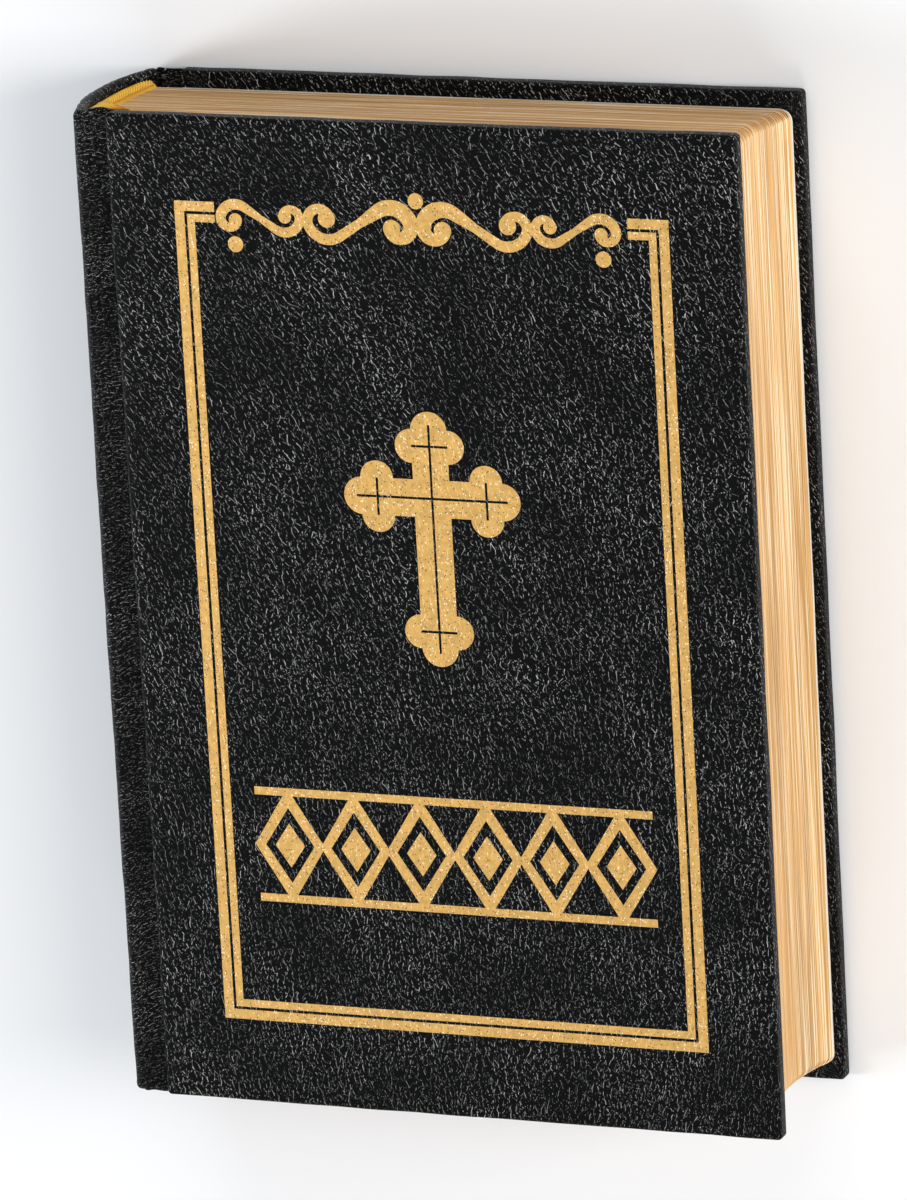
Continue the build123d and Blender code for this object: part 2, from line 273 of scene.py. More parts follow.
def creases(finish, place, size, turn, width):
    """Lines between long cells: 1 in a crease, and weaker where it runs across the cells.

    With P and Q the two nearest cell points, the crease is the line halfway between them. Its
    distance is ((P + Q) / 2 - place) . n with n from P to Q, put back to metres along n, so that
    every crease has the same width whichever way it runs.
    """
    cut = finish.cut(place, size, turn)
    one, two = finish.cells(cut, "F1", "Position"), finish.cells(cut, "F2", "Position")
    normal = finish.vector("NORMALIZE", finish.vector("SUBTRACT", two, one))
    middle = finish.vector("SCALE", finish.vector("ADD", one, two), 0.5)
    distance = finish.vector("DOT_PRODUCT", finish.vector("SUBTRACT", middle, cut), normal, output="Value")
    real = finish.vector("LENGTH", finish.vector("DIVIDE", normal, size), output="Value")
    line = 1 - (distance / real).step(width * 0.35, width)
    return line * finish.axis(normal, "X").maths("ABSOLUTE", finish.axis(normal, "X")).step(0.15, 0.80)


def grain(finish, place):
    """The leather's surface: returns its height, its creases (1 in a crease, also the mask of the painted
    highlights) and fine pebbles.

    Long creases run between long cells and a finer net lies between them; noise breaks both into
    short strokes, and small beads lie between the strokes. Pebbles are small round cells.
    """
    pitch = sizes().crease_pitch
    bent = warped(finish, warped(finish, leaning(finish, place), 55.0, 3.0 * MM), 480.0, 0.9 * MM)
    stroke = finish.noise(finish.cut(bent, (0.6 * MM, 0.85 * MM, 1)), 1.0, 1.0, flat=True).step(0.49, 0.58)
    long = creases(finish, bent, (pitch, 1.75 * pitch, pitch), 0.12, 0.095 * MM) * stroke
    patch = finish.noise(place, 900.0, 1.0, flat=True).step(0.50, 0.60)
    net = creases(finish, bent, (0.62 * pitch, 0.9 * pitch, pitch), 0.2, 0.07 * MM) * patch * 0.3
    drops = finish.cut(bent, (0.5 * MM, 0.6 * MM, 1))
    chance = finish.axis(finish.cells(drops, "F1", "Color"), "X").step(0.86, 0.88)
    bead = (1 - finish.cells(drops, "F1").step(0.10, 0.24)) * chance * 0.7
    pebbles = finish.cells(finish.cut(bent, (0.34 * MM, 0.42 * MM, 1)), "F1")
    # Mask of the painted highlights on the leather and the foil: creases, net and beads.
    lines = long.maths("MAXIMUM", long, net.maths("MAXIMUM", net, bead))
    height = 1 - long - net - pebbles * 0.12
    return height, lines, pebbles


# ---- materials ----------------------------------------------------------------------------------
def leather_finish():
    """Black leather: semi-gloss, creased, with painted highlights: pale glints painted along the creases and
    on small beads.
    """
    finish = Finish("black_leather", IOR=1.45, Coat_Roughness=0.2, Specular_IOR_Level=0.04)
    place = finish.place("sheet")
    height, lines, pebbles = grain(finish, place)
    palette = colours()
    wear_and_highlight = finish.noise(place, 45.0, 2.0, flat=True).step(0.25, 0.75)
    # Painted highlight: the crease lines take the pale crease colour, stronger where the slow noise is high;
    # that noise also makes the leather a little rougher and coated, as wear.
    base = (lines * (0.35 + wear_and_highlight * 0.65)).mix(tuple(palette.leather), tuple(palette.crease))
    finish.feed(Base_Color=base, Roughness=0.30 + pebbles * 0.10 + wear_and_highlight * 0.04, Coat_Weight=wear_and_highlight * 0.01,
                Normal=finish.bump(height, 0.18 * MM))
    return finish.material


def foil_finish():
    """Gold foil pressed into the grain: painted highlights as pale gold along the creases and near-white
    flecks, dark specks where it missed.
    """
    finish = Finish("gold_foil", IOR=1.5)
    place = finish.place()
    height, lines, _ = grain(finish, place)
    palette = colours()

    def flecks(size, turn, share):
        """Round spots, one in a cell, in this share of the cells."""
        cut = finish.cut(place, (size, 1.25 * size, size), turn)
        chance = finish.axis(finish.cells(cut, "F1", "Color"), "X")
        return chance.step(1 - share, 1.01 - share) * (1 - finish.cells(cut, "F1").step(0.20, 0.40))

    # Painted highlights: near-white flecks stand in for glints of the foil; the dark flecks are foil that
    # missed.
    bright = flecks(0.44 * MM, 0.2, 0.08)
    missing = flecks(0.42 * MM, -0.6, 0.10)
    tone = finish.noise(place, 700.0, 3.0).step(0.3, 0.7)
    gold = tuple(palette.foil)
    deep = tuple(0.80 * part for part in gold)
    body = tone.mix(deep, gold)
    # Painted highlight: pale gold along the crease lines, near-white in the glint flecks.
    base = bright.mix((lines * 0.6).mix(body, (1.0, 0.80, 0.45)), (1.0, 0.93, 0.75))
    base = missing.mix(base, (0.10, 0.055, 0.018))
    finish.feed(Base_Color=base, Metallic=0.55 - missing * 0.5 - bright * 0.3,
                Roughness=0.42 + missing * 0.2, Normal=finish.bump(height, 0.09 * MM))
    return finish.material


def gilt_finish():
    """Gilt edge: warm gold with hairlines between the leaves, paler and darker leaves in bands.

    The tone hangs on the height in the block and on slow noise along it, so that lines follow the
    leaves. Painted shade makes head, tail and the rounded corners darker than the fore-edge, and darker
    towards the last leaf.
    """
    finish = Finish("gilt_edge", IOR=1.5)
    place = finish.place()
    hair = finish.noise(finish.cut(place, (60 * MM, 60 * MM, 0.20 * MM)), 1.0, 2.0)
    bands = finish.noise(finish.cut(place, (150 * MM, 150 * MM, 1.5 * MM)), 1.0, 2.0)
    smudge = finish.noise(place, 120.0, 3.0)
    # Painted shade: the head and tail faces (ends) and the rounded corners (corner) get darker, more so
    # towards the last leaf (height).
    facing = finish.axis(finish.node("ShaderNodeNewGeometry", output="Normal"), "Y")
    ends = facing.maths("ABSOLUTE", facing).step(0.45, 0.95)
    height = finish.axis(place, "Z").step(0.045, 0.0)
    normal = finish.node("ShaderNodeNewGeometry", output="Normal")
    corner = finish.axis(normal, "X") * facing
    corner = corner.maths("ABSOLUTE", corner).step(0.10, 0.42)
    palette = colours()
    # Hairlines and bands are darker leaves; the ends and corner terms are painted shade.
    shade = hair.step(0.60, 0.36) * 0.5 + bands.step(0.56, 0.36) * 0.35 + ends * (0.32 + height * 0.5)
    shade = shade + corner * (0.15 + height * 0.5)
    # Pale hairlines: paler leaves, partly a painted highlight, kept off the shaded ends and corners.
    pale = hair.step(0.53, 0.64) * (1 - ends * 0.6) * (1 - corner)
    base = shade.maths("MINIMUM", shade, 1.0).mix(tuple(palette.gilt), tuple(palette.gilt_dark_and_shade))
    base = pale.mix(base, (1.0, 0.88, 0.66))
    finish.feed(Base_Color=base, Metallic=0.30 + smudge * 0.2, Roughness=0.36 + bands * 0.14,
                Normal=finish.bump(hair, 0.05 * MM))
    return finish.material


def paper_finish(name="leaf_paper", tint=1.0):
    """Uncoated paper: faint cloudy tone and fibres."""
    finish = Finish(name, IOR=1.45, Roughness=0.82)
    place = finish.place()
    cloud = finish.noise(place, 55.0, 4.0)
    fibre = finish.noise(finish.cut(place, (0.4 * MM, 0.7 * MM, 0.4 * MM), 0.5), 1.0, 3.0)
    paper = tuple(tint * part for part in colours().paper)
    base = cloud.step(0.3, 0.7).mix(tuple(0.93 * part for part in paper), paper)
    base = fibre.step(0.68, 0.74).mix(base, tuple(0.80 * part for part in paper))
    finish.feed(Base_Color=base, Normal=finish.bump(fibre, 0.012 * MM))
    return finish.material


def board_finish():
    """Grey pasteboard with short dark and pale fibres."""
    finish = Finish("pasteboard", IOR=1.45, Roughness=0.9)
    place = finish.place()
    fibre = finish.noise(finish.cut(place, (1.1 * MM, 0.45 * MM, 0.7 * MM), 0.4), 1.0, 4.0)
    grey = tuple(colours().board)
    base = fibre.step(0.35, 0.7).mix(tuple(0.6 * part for part in grey), tuple(1.3 * part for part in grey))
    finish.feed(Base_Color=base, Normal=finish.bump(fibre, 0.05 * MM))
    return finish.material


def silk_finish():
    """Golden silk: fine diagonal yarns with a soft sheen."""
    finish = Finish("yellow_silk", IOR=1.5, Sheen_Weight=0.1, Sheen_Roughness=0.35)
    place = finish.place("sheet")
    yarn = finish.node("ShaderNodeTexWave", {"bands_direction": "X"},
                       {"Vector": place, "Scale": 620.0, "Distortion": 0.6, "Detail": 1.0})
    tuft = finish.noise(place, 900.0, 2.0)
    silk = tuple(colours().silk)
    base = (yarn * 0.7 + tuft * 0.3).mix(tuple(0.50 * part for part in silk), (1.0, 0.60, 0.05))
    finish.feed(Base_Color=base, Roughness=0.42 + tuft * 0.2, Normal=finish.bump(yarn, 0.05 * MM))
    return finish.material


def linen_finish():
    """Natural linen: an open plain weave."""
    finish = Finish("linen", IOR=1.45, Roughness=0.85)
    place = finish.place()
    warp = finish.node("ShaderNodeTexWave", {"bands_direction": "Y"}, {"Vector": place, "Scale": 300.0})
    weft = finish.node("ShaderNodeTexWave", {"bands_direction": "Z"}, {"Vector": place, "Scale": 300.0})
    linen = tuple(colours().linen)
    cloth = warp.maths("MAXIMUM", warp, weft)
    base = cloth.mix(tuple(0.45 * part for part in linen), linen)
    finish.feed(Base_Color=base, Normal=finish.bump(cloth, 0.08 * MM))
    return finish.material


def floor_finish():
    """Pale matt studio floor with a faint tone."""
    finish = Finish("studio_floor", IOR=1.45, Roughness=0.75)
    cloud = finish.noise(finish.place(), 3.0, 3.0)
    pale = tuple(colours().floor)
    finish.feed(Base_Color=cloud.mix(tuple(0.98 * part for part in pale), pale))
    return finish.material


MAKERS = {"leather": leather_finish, "foil": foil_finish, "gilt": gilt_finish, "paper": paper_finish,
          "board": board_finish, "silk": silk_finish, "linen": linen_finish, "floor": floor_finish}
MADE = {}


def material(name):
    """The material of that name, made once."""
    if name not in MADE:
        MADE[name] = MAKERS[name]()
    return MADE[name]


def dress(node, name):
    """Give a CAD node a finished material."""
    mesh = frame["nodes"][node].data
    mesh.materials.clear()
    mesh.materials.append(material(name))


# ---- surfaces -----------------------------------------------------------------------------------
def ripple(x, y, pitch, seed):
    """Smooth irregular waves between -1 and 1: the mean of six sine waves in random directions."""
    random = np.random.default_rng(seed)
    total = np.zeros(np.broadcast(x, y).shape)
    for heading, phase, stretch in random.uniform(0, 1, (6, 3)):
        angle = 2 * np.pi * heading
        wave = 2 * np.pi / (pitch * (0.6 + 0.9 * stretch))
        total += np.sin(wave * (x * np.cos(angle) + y * np.sin(angle)) + 2 * np.pi * phase)
    return total / 3


def rounded(points, rounds=3):
    """A path with its corners cut off again and again (Chaikin), so it ends as a smooth curve."""
    path = np.asarray(points, float)
    for _ in range(rounds):
        one = path[:-1] * 0.75 + path[1:] * 0.25
        two = path[:-1] * 0.25 + path[1:] * 0.75
        inner = np.stack([one, two], 1).reshape(-1, path.shape[1])
        path = np.vstack([path[:1], inner[1:-1], path[-1:]])
    return path


def along(path):
    """Distance of each point of a path from its start."""
    return np.concatenate([[0], np.cumsum(np.linalg.norm(np.diff(path, axis=0), axis=1))])


def even(path, count):
    """The path as count points an equal distance apart."""
    distance = along(path)
    at = np.linspace(0, distance[-1], count)
    return np.stack([np.interp(at, distance, part) for part in path.T], 1)


def patch(points, sheet=None, loop=False, slot=0, flip=False):
    """One grid of points (rows, columns, 3), with its sheet coordinates and material slot."""
    if sheet is None:
        sheet = points
    return {"points": points, "sheet": sheet, "loop": loop, "slot": slot, "flip": flip}


def piece(name, patches, finishes, merge=1e-7):
    """A mesh object from grids. Each grid cell is a quad; points that meet are merged."""
    points, sheet, faces, slots = [], [], [], []
    start = 0
    for part in patches:
        rows, columns = part["points"].shape[:2]
        index = start + np.arange(rows * columns).reshape(rows, columns)
        if part["loop"]:
            index = np.hstack([index, index[:, :1]])
        quads = np.stack([index[:-1, :-1], index[:-1, 1:], index[1:, 1:], index[1:, :-1]], -1).reshape(-1, 4)
        faces.append(quads[:, ::-1] if part["flip"] else quads)
        slots.append(np.full(len(quads), part["slot"], np.int32))
        points.append(part["points"].reshape(-1, 3))
        sheet.append(np.broadcast_to(part["sheet"], part["points"].shape).reshape(-1, 3))
        start += rows * columns
    mesh = bpy.data.meshes.new(name)
    mesh.from_pydata(np.vstack(points), [], np.vstack(faces).tolist())
    grain_place = mesh.attributes.new("sheet", "FLOAT_VECTOR", "POINT")
    grain_place.data.foreach_set("vector", np.vstack(sheet).astype(np.float32).ravel())
    mesh.polygons.foreach_set("material_index", np.concatenate(slots))
    for finish in finishes:
        mesh.materials.append(material(finish))
    work = bmesh.new()
    work.from_mesh(mesh)
    bmesh.ops.remove_doubles(work, verts=work.verts, dist=merge)
    bmesh.ops.recalc_face_normals(work, faces=work.faces)
    work.to_mesh(mesh)
    work.free()
    mesh.shade_smooth()
    thing = bpy.data.objects.new(name, mesh)
    bpy.context.scene.collection.objects.link(thing)
    return thing


def crisp(thing, degrees):
    """Keep edges sharper than this angle sharp under smooth shading."""
    thing.data.set_sharp_from_angle(angle=math.radians(degrees))


# ---- covering leather ---------------------------------------------------------------------------
def ring(low, high, radius, columns, rows, arc):
    """A rounded rectangle as a loop of points.

    Straight sides take their places from columns and rows, kept off the corners; each corner is
    arc points on a quarter circle, which all meet in the corner when the radius is 0.
    """
    xs = np.clip(columns, low[0] + radius, high[0] - radius)
    ys = np.clip(rows, low[1] + radius, high[1] - radius)
    turn = np.linspace(0, np.pi / 2, arc)
    parts = []
    corners = ((high[0] - radius, low[1] + radius, -np.pi / 2), (high[0] - radius, high[1] - radius, 0),
               (low[0] + radius, high[1] - radius, np.pi / 2), (low[0] + radius, low[1] + radius, np.pi))
    sides = (np.stack([xs, np.full_like(xs, low[1])], 1), np.stack([np.full_like(ys, high[0]), ys], 1),
             np.stack([xs[::-1], np.full_like(xs, high[1])], 1),
             np.stack([np.full_like(ys, low[0]), ys[::-1]], 1))
    for side, (x, y, first) in zip(sides, corners):
        parts.append(side[1:-1])
        parts.append(np.stack([x + radius * np.cos(first + turn), y + radius * np.sin(first + turn)], 1))
    return np.vstack(parts)


def cover_shell(name, outward):
    """Leather round one board: a rounded slab, open nowhere.

    Rings at growing inset run from the outer face over a rolled edge to the turn-ins; both fields
    are flat grids. Points within 3 mm of the outline then move by slow ripples, as pasted leather does.
    """
    size = sizes()
    low = np.array([BOARD_LOW[0] - SKIN, LEATHER_LOW[1]])
    high = np.array([LEATHER_HIGH[0], LEATHER_HIGH[1]])
    thick = TOP - float(LEATHER_LOW[2])
    edge, corner = size.cover_edge, size.cover_corner
    inner_edge = 0.75 * MM
    turn_in = 15 * MM
    arc = 7
    bend = np.linspace(0, np.pi / 2, 7)
    profile = [(4.0 * MM, 0), (2.6 * MM, 0)]
    profile += [(edge - edge * math.sin(a), edge - edge * math.cos(a)) for a in bend]
    profile += [(inner_edge - inner_edge * math.cos(a), thick - inner_edge + inner_edge * math.sin(a))
                for a in bend]
    profile += [(3.0 * MM, thick), (turn_in, thick), (turn_in, thick - 0.4 * MM)]
    columns = np.linspace(low[0] + 4.0 * MM, high[0] - 4.0 * MM, 74)
    rows = np.linspace(low[1] + 4.0 * MM, high[1] - 4.0 * MM, 110)
    rings, sheets = [], []
    for inset, depth in profile:
        radius = max(corner - inset, 0)
        flat = ring(low + inset, high - inset, radius, columns, rows, arc)
        rings.append(np.column_stack([flat, np.full(len(flat), depth)]))
        reach = max(0.0, depth - edge * 0.4) + (thick + inset if depth > thick * 0.9 else 0)
        outer = ring(low - reach, high + reach, radius + reach, columns, rows, arc)
        sheets.append(np.column_stack([outer if reach > 0 else flat, np.zeros(len(flat))]))
    wall = np.array(rings)
    wall_sheet = np.array(sheets)

    def field(inset, depth):
        """A flat grid inside the rings."""
        xs = np.clip(columns, low[0] + inset, high[0] - inset)
        ys = np.clip(rows, low[1] + inset, high[1] - inset)
        x, y = np.meshgrid(xs, ys)
        return np.stack([x, y, np.full_like(x, depth)], -1)

    parts = [(field(profile[0][0], 0), None), (wall, wall_sheet), (field(turn_in, thick - 0.4 * MM), None)]
    patches = []
    for points, sheet in parts:
        x, y, depth = points[..., 0], points[..., 1], points[..., 2]
        near = np.clip(1 - np.minimum(np.minimum(x - low[0], high[0] - x),
                                      np.minimum(y - low[1], high[1] - y)) / (3 * MM), 0, 1)
        slow = near * 0.09 * MM
        x = x + slow * ripple(x, y, 24 * MM, SEED + 1)
        y = y + slow * ripple(x, y, 24 * MM, SEED + 2)
        depth = depth + near * 0.07 * MM * (1 + ripple(x, y, 15 * MM, SEED + 3)) * (depth < thick / 2)
        z = TOP - depth if outward > 0 else depth
        flat = points if sheet is None else sheet
        patches.append(patch(np.stack([x, y, z], -1), flat * [outward, 1, 0], loop=sheet is not None))
    return piece(name, patches, ["leather"], merge=2e-6)


def joint_path(groove):
    """The outer line of the leather from the front board's spine edge to the spine's middle, as (x, z).

    It dips into the groove, rises to the rolled shoulder and goes on as x = bulge + sag |t|^2.4,
    where t runs from 1 at the shoulder to 0 at the middle.
    """
    board_x = BOARD_LOW[0] - SKIN
    bulge = SPINE_LOW[0]
    full = 1.0 * MM
    sag = SHOULDER - full - bulge
    start = [(board_x + 1.0 * MM, TOP - groove), (board_x - 0.5 * MM, TOP - groove),
             (board_x - 4.0 * MM, TOP - groove), (board_x - 4.8 * MM, TOP - 1.3 * MM),
             (board_x - 5.6 * MM, TOP - 0.35 * MM), (SHOULDER + 0.1 * MM, TOP - 0.45 * MM),
             (SHOULDER - 0.85 * MM, TOP - 1.5 * MM), (SHOULDER - full, TOP - 2.6 * MM)]
    t = np.linspace(1, 0, 14)[1:]
    reach = MIDDLE - 3.4 * MM
    curve = np.stack([bulge + sag * t ** 2.4, MIDDLE + reach * t], 1)
    return np.vstack([rounded(np.vstack([start, curve[:1]]), 4)[:-1], curve])


def joint_skin(name, outward):
    """Half of the spine's leather with one joint, as a closed skin.

    The outer line is carried from tail to head; each station is a flat loop across the thickness,
    rounded over at head and tail, where the leather is turned in. Ridges across the groove and
    slow waves along the spine move the points along their normal.
    """
    size = sizes()
    path = even(joint_path(2.6 * MM if outward > 0 else 1.5 * MM), 72)
    distance = along(path)
    tangent = np.gradient(path, axis=0)
    tangent /= np.linalg.norm(tangent, axis=1)[:, None]
    normal = np.stack([tangent[:, 1], -tangent[:, 0]], 1)
    spine_part = np.clip((distance - 6.0 * MM) / (3 * MM), 0, 1)
    spine_part = (spine_part ** 2 * (3 - 2 * spine_part))[:, None]
    groove = np.exp(-((distance[:, None] - 3.0 * MM) / (2.4 * MM)) ** 2)
    shoulder = np.exp(-((distance[:, None] - 8.4 * MM) / (1.3 * MM)) ** 2)
    reach = float(LEATHER_HIGH[1]) + 0.5 * MM * groove * (outward > 0) - 0.8 * MM * shoulder
    bend = np.linspace(0, np.pi, 11)
    straight = np.concatenate([np.linspace(-1, -0.93, 12)[:-1], np.linspace(-0.93, 0.93, 168),
                               np.linspace(0.93, 1, 12)[1:]])
    count = len(straight)
    ends = (1 - np.cos(bend)) / 2
    over = np.sin(bend)
    loop_v = np.concatenate([straight, np.ones(11), straight[::-1], -np.ones(11)])
    loop_n = np.concatenate([np.zeros(count), ends, np.ones(count), ends[::-1]])
    loop_o = np.concatenate([np.zeros(count), over, np.zeros(count), -over[::-1]])
    near_end = np.clip((np.abs(loop_v) - 0.955) / 0.035, 0, 1)
    near_end = near_end ** 2 * (3 - 2 * near_end)
    thin, cap = 1.0 * MM, size.cap
    thick = thin + 0.3 * MM * near_end + (cap - thin - 0.3 * MM) * spine_part * near_end
    tip = thick[:, count:count + 1]
    across = thick * loop_n
    y = (reach - tip * 0.45) * loop_v + tip * 0.45 * loop_o
    s = distance[:, None] + 0 * y
    outer = 1 - loop_n
    ridges = 0.20 * MM * groove * ripple(s * 0.25, y, 1.9 * MM, SEED + 11)
    ridges += 0.05 * MM * ripple(s, y, 9 * MM, SEED + 12) + 0.12 * MM * spine_part * ripple(
        s, y, 60 * MM, SEED + 13)
    tight = np.exp(-((reach - np.abs(y)) / (2.2 * MM)) ** 2)
    pinch = tight * (groove * 0.5 * MM + 0.12 * MM * ripple(s, y, 1.9 * MM, SEED + 14))
    across = across - (ridges - pinch) * outer
    x = path[:, :1] - normal[:, :1] * across
    z = path[:, 1:] - normal[:, 1:] * across
    sheet = np.stack([1.5 * (y + across), 1.2 * s, 0 * y], -1)
    if outward < 0:
        z = TOP - z
    points = np.stack([x, y, z], -1)
    return piece(name, [patch(points, sheet, loop=True)], ["leather"])


def covering():
    """The whole leather covering: a shell round each board and a skin over each joint and half the spine."""
    front = cover_shell("front_cover_leather", 1)
    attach(front, "front_cover")
    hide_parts("front_leather")
    back = cover_shell("back_cover_leather", -1)
    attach(back, "back_cover")
    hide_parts("back_leather")
    half = joint_skin("front_joint_leather", 1)
    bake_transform(half)
    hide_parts("spine_leather")
    other = joint_skin("back_joint_leather", -1)
    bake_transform(other)
    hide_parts("spine_leather")


# ---- leaves -------------------------------------------------------------------------------------
def edge_curves():
    """Heights of the sections with the X of their back and of their fore-edge."""
    boxes = [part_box(name) for name in SECTIONS]
    whole = [box for name, box in zip(SECTIONS, boxes) if name not in OPENING]
    folds = [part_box(name + "_fold") for name in OPENING]
    backs = whole + folds
    back_z = np.array([(low[2] + high[2]) / 2 for low, high in backs])
    back_x = np.array([low[0] for low, high in backs])
    fore_z = np.array([(low[2] + high[2]) / 2 for low, high in boxes])
    fore_x = np.array([high[0] for low, high in boxes])
    back = np.polyfit(back_z, back_x, 2)
    fore = np.polyfit(fore_z, fore_x, 2)
    return back, fore


def leaf_pile(name, low, high, bundles, seed):
    """A pile of leaves between two heights.

    Each layer is the page outline, moved in or out by a random hair, so the edges show as fine
    steps. The outline is x from the back curve to the fore curve, with round corners; a page is
    the grid x = back + u (edge(y) - back).
    """
    back, fore = edge_curves()
    half = float(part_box(SECTIONS[0])[1][1])
    radius = sizes().page_corner
    turn = np.linspace(0, np.pi / 2, 7)
    ends = half - radius + radius * np.sin(turn)
    rows = np.concatenate([-ends[::-1], np.linspace(-half + radius, half - radius, 50)[1:-1], ends])
    inset = np.concatenate([radius * (1 - np.cos(turn[::-1])), np.zeros(48), radius * (1 - np.cos(turn))])
    u = np.concatenate([np.linspace(0, 0.09, 13), np.linspace(0.09, 1, 38)[1:]])
    random = np.random.default_rng(seed)

    def page(z, shift):
        """The page grid at a height, its edges moved outwards by shift."""
        x0 = np.polyval(back, z)
        x1 = np.polyval(fore, z) + shift - inset
        x = x0 + u[None, :] * (x1 - x0)[:, None]
        y = (rows * (1 + shift / half))[:, None] + 0 * x
        x = x + (u[None, :] > 0.5) * 0.05 * MM * ripple(y, y * 0 + z * 9, 30 * MM, SEED + 21)
        wave = ripple(x, y * 0 + z * 9, 30 * MM, SEED + 22)
        y = y + np.sign(y) * (np.abs(y) > half - radius) * 0.04 * MM * wave
        return np.stack([x, y, np.full_like(x, z)], -1)

    def rim(grid):
        """The border of a page grid as a loop."""
        return np.vstack([grid[0, :-1], grid[:-1, -1], grid[-1, :0:-1], grid[:0:-1, 0]])

    levels = np.linspace(low, high, bundles + 1)
    loops = []
    for lower, upper in zip(levels[:-1], levels[1:]):
        shift = random.normal(0, 0.022 * MM)
        hair = 0.12 * (upper - lower)
        loops += [rim(page(lower, shift - 0.05 * MM)), rim(page(lower + hair, shift)),
                  rim(page(upper - hair, shift)), rim(page(upper, shift - 0.05 * MM))]
        if lower == low:
            first = page(lower, shift - 0.05 * MM)
        last = page(upper, shift - 0.05 * MM)
    patches = [patch(first, slot=1), patch(last, slot=1), patch(np.array(loops), loop=True, slot=0)]
    thing = piece(name, patches, ["gilt", "paper"])
    crisp(thing, 50)
    return thing


def leaves():
    """All sections and both flyleaves."""
    count = sizes().leaf_bundles
    boxes = {name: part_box(name) for name in SECTIONS}
    front_fly, back_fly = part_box("front_flyleaf"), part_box("back_flyleaf")
    for number, name in enumerate(SECTIONS):
        low, high = boxes[name]
        above = boxes[SECTIONS[number + 1]][0][2] if number + 1 < len(SECTIONS) else front_fly[0][2]
        top = high[2] if name in OPENING else max(high[2], above - 0.02 * MM)
        if number == 0 or name not in OPENING:
            bottom = low[2]
        else:
            bottom = boxes[SECTIONS[number - 1]][1][2] + 0.05 * MM
        if name in OPENING:
            bottom = low[2] - 0.22 * MM
        elif SECTIONS[number + 1] in OPENING:
            top = high[2]
        thing = leaf_pile(name + "_leaves", bottom, top, count, SEED + 100 + number)
        if name in OPENING:
            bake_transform(thing)
            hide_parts(name, name + "_fold")
        else:
            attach(thing, "text_block")
            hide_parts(name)
    thing = leaf_pile("front_flyleaf_sheet", front_fly[0][2] - 0.2 * MM, front_fly[1][2], 1, SEED + 201)
    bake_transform(thing)
    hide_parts("front_flyleaf")
    thing.data.materials[0] = material("paper")
    thing = leaf_pile("back_flyleaf_sheet", back_fly[0][2] - 0.25 * MM, back_fly[1][2], 1, SEED + 202)
    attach(thing, "text_block")
    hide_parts("back_flyleaf")
    thing.data.materials[0] = material("paper")


# ---- headbands and ribbon -----------------------------------------------------------------------
def headband(end):
    """Worked cord along the back edge of the block.

    A tube about the edge's curve, radius r (1 + bead), where the bead wave winds round the tube so
    the thread shows as slanting beads; a ribbed apron of thread runs from the cord to the leaves.
    """
    node = "headband_head" if end > 0 else "headband_tail"
    low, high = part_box(node)
    back, _ = edge_curves()
    half = float(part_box(SECTIONS[0])[1][1])
    radius = sizes().cord / 2
    z = np.linspace(low[2] - 0.6 * MM, high[2] + 0.6 * MM, 560)
    x = np.polyval(back, z) + radius * 0.6 - 1.4 * MM * ((z - MIDDLE) / (high[2] - MIDDLE)) ** 2
    path = np.stack([x, z], 1)
    s = along(path)
    tangent = np.gradient(path, axis=0)
    tangent /= np.linalg.norm(tangent, axis=1)[:, None]
    normal = np.stack([tangent[:, 1], -tangent[:, 0]], 1)
    angle = np.linspace(0, 2 * np.pi, 28, endpoint=False)
    close = np.clip(np.minimum(s, s[-1] - s) / radius, 0.02, 1)
    taper = np.sqrt(1 - (1 - close) ** 2)
    turn = 2 * np.pi * s[:, None] / (0.95 * MM)
    bead = 0.15 * np.cos(turn - angle) + 0.07 * np.cos(turn + 3 * angle)
    r = radius * taper[:, None] * (1 + bead + 0.03 * ripple(s[:, None], angle * 0, 3 * MM, SEED + 31))
    px = x[:, None] + normal[:, :1] * r * np.cos(angle)
    pz = z[:, None] + normal[:, 1:] * r * np.cos(angle)
    py = half + radius * 0.85 + r * np.sin(angle)
    sheet = np.stack([s[:, None] + angle * radius * 0.4, angle * radius + 0 * s[:, None], 0 * r], -1)
    cord = patch(np.stack([px, py, pz], -1), sheet, loop=True)
    down = np.linspace(0, 1, 8)
    ribs = 0.09 * MM * np.cos(2 * np.pi * s / (0.5 * MM))[:, None] * np.sin(np.pi * (0.1 + 0.8 * down))
    out = radius * (0.8 + 0.85 * down ** 1.3) + ribs
    ax = x[:, None] + normal[:, :1] * out
    az = z[:, None] + normal[:, 1:] * out
    ay = half + radius * 0.95 * (1 - down) ** 1.2 - 0.03 * MM + 0 * ax
    cloth = np.stack([s[:, None] + 0 * ax, down * MM + 0 * ax, 0 * ax], -1)
    apron = patch(np.stack([ax, ay, az], -1), cloth)
    under = radius * (0.3 * (1 - down) + 1.65 * down)
    under_x = x[:, None] + normal[:, :1] * under
    under_z = z[:, None] + normal[:, 1:] * under
    below = patch(np.stack([under_x, half - 0.25 * MM + 0 * under_x, under_z], -1))
    if end < 0:
        for part in (cord, apron, below):
            part["points"] = part["points"] * [1, -1, 1]
    thing = piece(node + "_cord", [cord, apron, below], ["silk"])
    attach(thing, "text_block")
    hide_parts(node)


